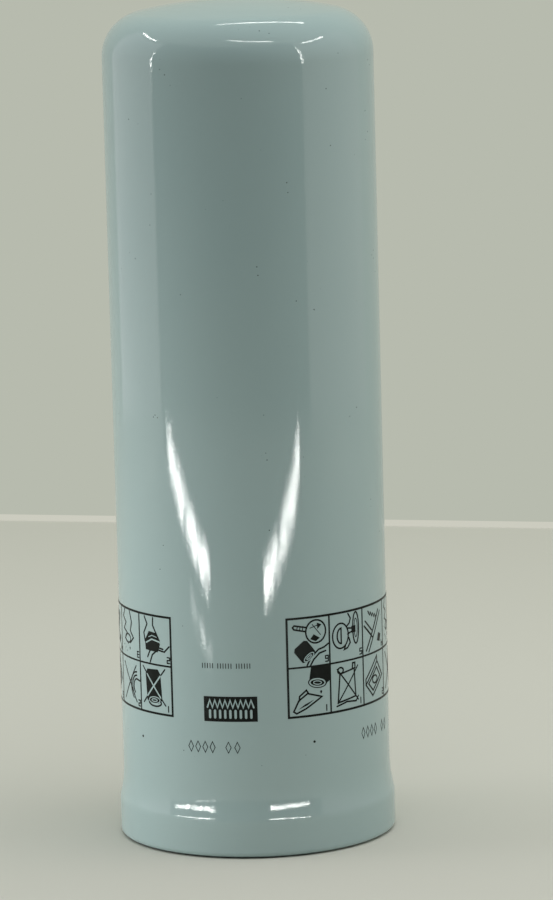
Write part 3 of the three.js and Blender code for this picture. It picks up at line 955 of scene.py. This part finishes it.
def strapWrench(c):
    c.blackCan(8.2, 7.6, 8.2, 7.8, 38)
    c.line((9.5, 0.6), (11.5, 4.2), (15.5, 7.6), (18.6, 8.4), (21.0, 9.8))
    c.line((11.2, 0.4), (13.0, 3.2), (16.0, 5.8), (19.4, 6.6))
    c.ring(14.4, 16.2, 5.2, 5.4)
    c.fill((11.4, 12.8), (14.2, 11.6), (16.4, 13.0), (13.2, 15.0))
    c.fill((15.2, 17.2), (17.4, 19.2), (15.0, 20.2))
    c.line((12.6, 19.6), (16.8, 14.4), width=0.4)
    c.line((11.4, 18.0), (15.6, 19.2), width=0.4)
    c.line((9.2, 16.6), (3.4, 18.0), (2.8, 19.0), (3.6, 19.8), (9.5, 18.5))
    for x in (4.8, 6.2, 7.6):
        c.line((x, 17.5), (x + 0.3, 19.3), width=0.4)


def gasketFit(c):
    c.ring(6.6, 12.2, 4.8, 5.9)
    c.line(*oval(6.9, 12.2, 2.4, 3.6, 90, 270, 12), closed=True)
    c.ring(16.6, 14.6, 2.1, 7.4)
    c.ring(16.6, 14.6, 1.1, 4.4, width=0.4)
    c.fill((13.6, 12.6), (16.4, 12.6), (16.4, 15.8), (13.6, 15.8))
    c.line((11.0, 15.2), (13.6, 14.8))
    c.line((11.0, 12.4), (13.6, 13.2))
    c.line((11.4, 22.0), (13.0, 19.6), (12.2, 17.4), (10.6, 16.2))
    c.line((11.8, 10.6), (12.6, 8.2), (10.8, 6.0), (8.6, 5.4), (9.4, 7.0))


def crossedTools(c):
    c.line((3.0, 2.0), (15.5, 19.5), width=0.9)
    c.line((5.2, 1.2), (17.6, 18.6))
    c.line((1.5, 14.0), (9.0, 7.5), width=0.9)
    c.line((2.4, 16.2), (8.2, 11.0))
    for k in range(4):
        c.line((5.0 + 2.2 * k, 20.4 - 0.8 * k), (6.6 + 2.2 * k, 18.4 - 0.8 * k))
    c.fill((13.8, 5.0), (17.0, 4.0), (18.4, 7.4), (15.4, 8.6))


def canAndTray(c):
    c.fill((11.4, 22.9), (21.3, 22.9), (21.3, 15.6), (19.2, 14.2), (10.2, 15.6))
    c.fill(*oval(14.7, 15.3, 5.0, 2.7, turn=-8))
    c.gap(*oval(14.6, 15.2, 4.0, 1.8, turn=-8), width=0.6, closed=True)
    c.gap(*oval(14.6, 15.2, 2.1, 0.8, turn=-8, steps=16), width=0.4, closed=True)
    c.drop(16.4, 10.8, 1.0)
    c.line((2.4, 2.6), (5.0, 7.6), (9.4, 10.6), (16.8, 8.4), (8.6, 3.6), (3.8, 1.6), closed=True)
    c.line((5.2, 7.4), (5.4, 9.6), (8.8, 12.2), (10.0, 10.4))
    c.fill((4.6, 3.4), (9.4, 5.2), (12.6, 7.4), (8.0, 5.6))


def noClamp(c):
    c.line((4.2, 4.0), (5.6, 17.4), (14.8, 18.8), (15.6, 5.6), closed=True)
    c.ring(6.0, 19.0, 1.7, 1.4)
    c.line((13.6, 19.0), (13.8, 21.4), (15.4, 21.4), (15.4, 18.8))
    c.line((3.4, 2.4), (9.8, 3.8), (15.8, 3.2), (17.4, 5.4))
    c.cross(4.0, 3.6, 17.4, 19.8)


def trayBox(c):
    c.line((2.0, 9.0), (8.0, 3.0), (19.0, 11.0), (13.0, 18.6), closed=True)
    c.line((4.4, 9.2), (8.4, 5.4), (16.2, 11.2), (12.4, 15.8), closed=True)
    c.ring(10.4, 10.4, 2.4, 1.8)
    c.line((2.0, 9.0), (2.0, 11.6), (12.8, 21.2), (13.0, 18.6))


def capTwist(c):
    c.fill((5.0, 6.4), (4.6, 11.0), (7.6, 15.4), (12.0, 15.0), (15.0, 9.8), (13.4, 6.0))
    c.gap((5.6, 9.8), (9.6, 11.8), (14.6, 11.0), width=0.7)
    c.gap((7.4, 12.6), (9.8, 13.6), (12.8, 13.0), width=0.4)
    c.line((8.0, 0.8), (9.6, 4.4), (13.4, 7.2), (17.6, 6.6), (20.6, 9.4))
    c.line((6.2, 3.0), (8.0, 6.2), (12.6, 8.4), (16.8, 7.8))
    c.line((4.4, 22.0), (6.4, 18.6), (3.8, 14.2), (4.6, 10.4))
    c.line((10.6, 22.0), (10.4, 18.4), (13.6, 13.2), (14.6, 11.4))


def firstDrops(c):
    c.line((6.0, 22.4), (3.8, 18.6), (7.4, 16.2), (4.6, 13.0), (8.6, 11.4), (6.0, 8.4), (10.0, 6.6))
    c.line((12.0, 22.4), (14.2, 17.4), (12.6, 13.0), (15.8, 10.0), (12.4, 7.2))
    c.ring(9.6, 9.0, 3.2, 2.0)
    c.drop(11.6, 4.6, 0.9)
    for x, y in ((4.4, 5.4), (6.2, 4.2), (7.8, 2.8)):
        c.drop(x, y, 0.5)


def usedOnce(c):
    c.blackCan(9.8, 13.4, 10.4, 14.6, 4)
    c.cross(2.4, 4.2, 17.6, 21.4, over=(0.2, 0.8))
    c.ring(10.6, 5.0, 4.2, 1.7)


def noStrap(c):
    for r in (3.0, 4.4, 5.8):
        c.line(*oval(18.0, 10.4, r, r * 1.2, 90, 235, 12))
    c.line((21.4, 13.4), (18.0, 14.0))
    c.cross(4.0, 3.0, 17.6, 20.2)


def markBlock(left, bottom, wide, high):  # black block with pale pleats over a row of pale bars
    patch([(left, bottom), (left + wide, bottom), (left + wide, bottom + high), (left, bottom + high)])
    folds, margin = 9, 1.7
    pitch = (wide - 2 * margin) / folds
    zig = []
    for k in range(2 * folds + 1):
        zig.append((left + margin + pitch * k / 2, bottom + high * (0.86 if k % 2 else 0.56)))
    stroke(zig, 0.75, gapParts)
    for k in range(folds):
        x = left + margin + pitch * (k + 0.5)
        stroke([(x, bottom + high * 0.16), (x, bottom + high * 0.44)], pitch * 0.46, gapParts)


def batchMarks(left, middle):  # two groups of tall thin lozenges
    corners = ((0.0, 0.0), (1.25, -2.6), (2.5, 0.0), (1.25, 2.6))
    for start in (0.0, 3.6, 7.2, 10.8, 18.4, 22.6):
        stroke([(left + start + x, middle + y) for x, y in corners], 0.36, inkParts, True)


def smallLine(left, middle, wide):  # row of short ticks in three groups
    for k in range(19):
        if k not in (5, 12):
            x = left + wide * k / 18
            stroke([(x, middle - 1.1), (x, middle + 1.1)], 0.38)


def buildPrint():
    w, h, z0 = label["cellWide"], label["cellHigh"], label["panelBottom"]
    rightIcons = [(canAndTray, noClamp, trayBox, noStrap, usedOnce),
                  (strapWrench, gasketFit, crossedTools, firstDrops, capTwist)]
    leftIcons = [row[::-1] for row in rightIcons]
    rightDigits, leftDigits = [(1, 1, 2, 3, 4), (6, 5, 4, 3, 2)], [(1, 2, 3, 4, 5), (2, 3, 4, 5, 6)]
    panels = ((1, label["rightStart"], rightIcons, rightDigits),
              (-1, label["leftEnd"], leftIcons, leftDigits))
    for side, start, icons, digits in panels:
        for row in range(2):
            for column in range(label["columns"]):
                left = start + (column if side > 0 else -column - 1) * w
                cell = Cell(left, z0 + row * h)
                icons[row][column](cell)
                cell.numeral(digits[row][column])
        a, b = sorted((start, start + side * w * label["columns"]))
        stroke([(a, z0), (b, z0), (b, z0 + 2 * h), (a, z0 + 2 * h)], label["frameLine"], inkParts, True)
        stroke([(a, z0 + h), (b, z0 + h)], label["dividerLine"])
        for column in range(1, label["columns"]):
            stroke([(a + w * column, z0), (a + w * column, z0 + 2 * h)], label["dividerLine"])
    markBlock(*label["frontBlock"])
    markBlock(*label["backBlock"])
    smallLine(*label["ticks"])
    for left in label["batchStarts"]:
        batchMarks(left, label["batchHeight"])
    for u in label["dotPlaces"]:
        patch(list(oval(u, label["dotHeight"], label["dotRadius"], label["dotRadius"], steps=12)))
    settle(addPiece("can_print", *inkParts, blackInk), "shell", "print_ink")
    settle(addPiece("can_print_gaps", *gapParts, canPaint), "shell", "can_paint")


buildPrint()
print("print laid on the can:", len(inkParts[1]), "faces")

# floor, wall and light

studio = {
    "turn": -13.0, "floorEdge": 0.795, "floorHalf": 6, "floorDeep": 8, "footHigh": 0.004,
    "wallColour": (0.474, 0.497, 0.423), "wallStrength": 1.0, "floorColour": (0.675, 0.68, 0.632),
    "topLight": 13.1, "leftWall": 0.92, "rightWall": 0.66, "domeHeight": 0.37,
    "leftFill": 2.0, "rightFill": 1.3, "frontFill": 0.17, "lowLeftFill": 0.42,
    "stripPower": 18.0, "lowStripPower": 19.0, "lowStripBottom": 0.045, "lowStripTop": 0.069,
    "echoShare": 0.3, "echoBottom": 0.010, "echoTop": 0.018, "ripple": 0.9,
    "diodes": (38, 38, 150),  # how finely the low strips break up into separate lamps
    "lowLeft": [(-0.826, -0.291), (-0.658, -0.345), (-0.493, -0.381), (-0.358, -0.381), (-0.248, -0.374)],
    "lowRight": [(0.071, -0.432), (0.157, -0.464), (0.281, -0.529), (0.408, -0.564), (0.597, -0.651)],
}
domeStrips = {  # azimuth from and to, then elevation from and to, in degrees
    "strip top front": (-12, 39, 60, 50), "strip top left": (-122, -90, 41, 41),
    "strip top right": (65, 94, 37, 38), "strip top back": (-165, -221, 66, 54),
}


def stageMesh(name, verts, faces, material, camera=False, diffuse=True):
    mesh = bpy.data.meshes.new(name)
    mesh.from_pydata(verts, [], faces)
    thing = bpy.data.objects.new(name, mesh)
    scene.collection.objects.link(thing)
    mesh.materials.append(material)
    thing.visible_camera, thing.visible_diffuse, thing.visible_shadow = camera, diffuse, camera
    thing.visible_transmission = False


def glow(name, colour, strength, ripple=0.0, stretch=(1, 1, 1)):
    made = bpy.data.materials.new(name)
    made.use_nodes = True
    nodes, links = made.node_tree.nodes, made.node_tree.links
    nodes.clear()
    out = nodes.new("ShaderNodeOutputMaterial")
    lamp = nodes.new("ShaderNodeEmission")
    lamp.inputs["Color"].default_value = (*colour, 1)
    lamp.inputs["Strength"].default_value = strength
    if ripple:
        place = nodes.new("ShaderNodeTexCoord")
        waves = nodes.new("ShaderNodeTexNoise")
        waves.inputs["Scale"].default_value = 1.0
        waves.inputs["Detail"].default_value = 1.0
        scaled = nodes.new("ShaderNodeMapping")
        scaled.inputs["Scale"].default_value = stretch
        links.new(place.outputs["Object"], scaled.inputs["Vector"])
        links.new(scaled.outputs["Vector"], waves.inputs["Vector"])
        ranged = nodes.new("ShaderNodeMapRange")
        ranged.inputs["From Min"].default_value, ranged.inputs["From Max"].default_value = 0.4, 0.6
        ranged.inputs["To Min"].default_value = strength * (1 - ripple)
        ranged.inputs["To Max"].default_value = strength * (1 + ripple)
        links.new(waves.outputs["Fac"], ranged.inputs["Value"])
        links.new(ranged.outputs["Result"], lamp.inputs["Strength"])
    links.new(lamp.outputs["Emission"], out.inputs["Surface"])
    return made


def matte(name, colour, roughness):
    made = bpy.data.materials.new(name)
    made.use_nodes = True
    shader = made.node_tree.nodes["Principled BSDF"]
    shader.inputs["Base Color"].default_value = (*colour, 1)
    shader.inputs["Roughness"].default_value = roughness
    shader.inputs["Specular IOR Level"].default_value = 0.0
    return made


def toward(azimuth, elevation, distance, base=0.0):
    a, e = math.radians(azimuth), math.radians(elevation)
    flat = distance * math.cos(e)
    return (flat * math.sin(a), -flat * math.cos(a), base + distance * math.sin(e))


def quadRow(steps):  # faces of a row of quads between pairs of points
    return [(2 * k, 2 * k + 1, 2 * k + 3, 2 * k + 2) for k in range(steps)]


def domeStrip(name, material, azA, azB, elA, elB, distance=1.0, wide=1.6, steps=12):  # over the dome
    verts, base = [], studio["domeHeight"]
    for k in range(steps + 1):
        t = k / steps
        az, el = azA + (azB - azA) * t, elA + (elB - elA) * t
        verts += [toward(az, el - wide / 2, distance, base), toward(az, el + wide / 2, distance, base)]
    stageMesh(name, verts, quadRow(steps), material, diffuse=False)


def wallPanel(name, material, azA, azB, low, high, distance, steps=14, diffuse=True):  # upright and curved
    verts = []
    for k in range(steps + 1):
        x, y, z = toward(azA + (azB - azA) * k / steps, 0, distance)
        verts += [(x, y, low), (x, y, high)]
    stageMesh(name, verts, quadRow(steps), material, diffuse=diffuse)


def ribbonLamp(name, material, line, low, high):  # upright ribbon along a few points in plan
    verts = [(x, y, z) for x, y in line for z in (low, high)]
    stageMesh(name, verts, quadRow(len(line) - 1), material, diffuse=False)


def softbox(name, place, aim, size, power, colour, only=None):  # soft fill with no reflection of its own
    light = bpy.data.lights.new(name, "AREA")
    light.shape, light.size, light.energy, light.color = "DISK", size, power, colour
    lamp = bpy.data.objects.new(name, light)
    lamp.location = place
    lamp.rotation_euler = (Vector(place) - Vector(aim)).to_track_quat("Z", "Y").to_euler()
    lamp.visible_camera = lamp.visible_glossy = False
    lamp.light_linking.receiver_collection = only
    scene.collection.objects.link(lamp)


def buildStudio():
    world = bpy.data.worlds.new("pale room")
    scene.world = world
    world.use_nodes = True
    back = world.node_tree.nodes["Background"]
    back.inputs["Color"].default_value = (*studio["wallColour"], 1)
    back.inputs["Strength"].default_value = studio["wallStrength"]

    turn = math.radians(studio["turn"])
    along, away = Vector((math.cos(turn), math.sin(turn), 0)), Vector((-math.sin(turn), math.cos(turn), 0))
    middle, half = Vector((0, studio["floorEdge"], 0)), along * studio["floorHalf"]
    leftEnd, rightEnd, near = middle - half, middle + half, away * -studio["floorDeep"]
    corners = [leftEnd, rightEnd, rightEnd + near, leftEnd + near]
    pale = matte("floor, pale matt", studio["floorColour"], 0.6)
    stageMesh("floor", [tuple(c) for c in corners], [(0, 1, 2, 3)], pale, camera=True)
    up = Vector((0, 0, studio["footHigh"]))
    foot = [leftEnd, rightEnd, rightEnd + up, leftEnd + up]
    # Painted highlight: the wall foot is a thin glowing strip along the far edge of the floor that stands in
    # for the bright line of light on that edge.
    footHighlight = glow("wall foot", (0.60, 0.60, 0.52), 1.0)
    stageMesh("wall foot", [tuple(c) for c in foot], [(0, 1, 2, 3)], footHighlight, camera=True)

    dark = matte("dark room side", (0.02, 0.02, 0.02), 0.9)
    wallPanel("dark front", dark, -76, 54, -0.02, 1.6, 1.3)
    leftGlow = glow("left wall", (1.0, 0.98, 0.96), studio["leftWall"])
    rightGlow = glow("right wall", (1.0, 0.95, 0.88), studio["rightWall"])
    wallPanel("left wall", leftGlow, -130, -76.6, 0.0, 1.4, 1.3)
    wallPanel("right wall", rightGlow, 54.6, 120, 0.0, 1.4, 1.3)

    strip = glow("light strip", (1.0, 1.0, 0.97), studio["stripPower"])
    wallPanel("strip left front", strip, -76.6, -75.4, 0.28, 0.77, 1.0, 1, diffuse=False)
    wallPanel("strip right front", strip, 53.4, 54.6, 0.30, 0.95, 1.0, 1, diffuse=False)
    for name, angles in domeStrips.items():
        domeStrip(name, strip, *angles)

    power, ripple, diodes = studio["lowStripPower"], studio["ripple"], studio["diodes"]
    low = glow("low strip", (1.0, 1.0, 0.97), power, ripple, diodes)
    echo = glow("low strip echo", (1.0, 1.0, 0.97), power * studio["echoShare"], ripple, diodes)
    left, right = studio["lowLeft"], studio["lowRight"]
    for name, line in (("left", left), ("right", right)):
        ribbonLamp("low strip " + name, low, line, studio["lowStripBottom"], studio["lowStripTop"])
    ribbonLamp("low strip echo", echo, left[2:], studio["echoBottom"], studio["echoTop"])

    canOnly = bpy.data.collections.new("lit by the low fills")  # they leave the floor alone
    for name in ("can_shell", "can_print", "can_print_gaps"):
        canOnly.objects.link(bpy.data.objects[name])
    softbox("overhead softbox", (0.25, -0.3, 1.7), (0, 0, 0), 1.8, studio["topLight"], (1.0, 1.0, 1.0))
    body, skirt = (0, 0, 0.2), (0, 0, 0.05)  # what the soft fills are aimed at
    softbox("left softbox", toward(-88, 12, 1.2, 0.2), body, 0.8, studio["leftFill"], (1.0, 0.96, 0.93))
    softbox("right softbox", toward(86, 12, 1.2, 0.2), body, 0.8, studio["rightFill"], (1.0, 0.93, 0.83))
    softbox("low front softbox", (0, -0.40, 0.03), skirt, 0.3, studio["frontFill"],
            (1.0, 0.96, 0.91), canOnly)
    softbox("low left softbox", toward(-72, 0, 0.34, 0.04), skirt, 0.2, studio["lowLeftFill"],
            (1.0, 0.95, 0.90), canOnly)


buildStudio()
print("floor and light set")

# camera

view = {
    "elevation": 9.42, "distance": 2.5, "roll": 1.56, "lens": 213.7,
    "aimHeight": 0.1875, "aimRight": 0.00535, "aimDown": 0.00268,
}


def buildCamera():
    target = Vector((0, 0, view["aimHeight"]))
    e, roll = math.radians(view["elevation"]), math.radians(view["roll"])
    place = target + Vector((0, -math.cos(e), math.sin(e))) * view["distance"]
    forward = (target - place).normalized()
    level = forward.cross(Vector((0, 0, 1))).normalized()
    above = level.cross(forward)
    right = level * math.cos(roll) - above * math.sin(roll)
    up = above * math.cos(roll) + level * math.sin(roll)
    forward = (forward + right * view["aimRight"] - up * view["aimDown"]).normalized()
    right = forward.cross(up).normalized()
    up = right.cross(forward)
    data = bpy.data.cameras.new("camera")
    data.lens, data.sensor_width, data.clip_end = view["lens"], 36, 50
    camera = bpy.data.objects.new("camera", data)
    camera.matrix_world = Matrix.Translation(place) @ Matrix((right, up, -forward)).transposed().to_4x4()
    scene.collection.objects.link(camera)
    scene.camera = camera


buildCamera()
scene.view_settings.view_transform = "Standard"
scene.view_settings.look = "None"
print("done")
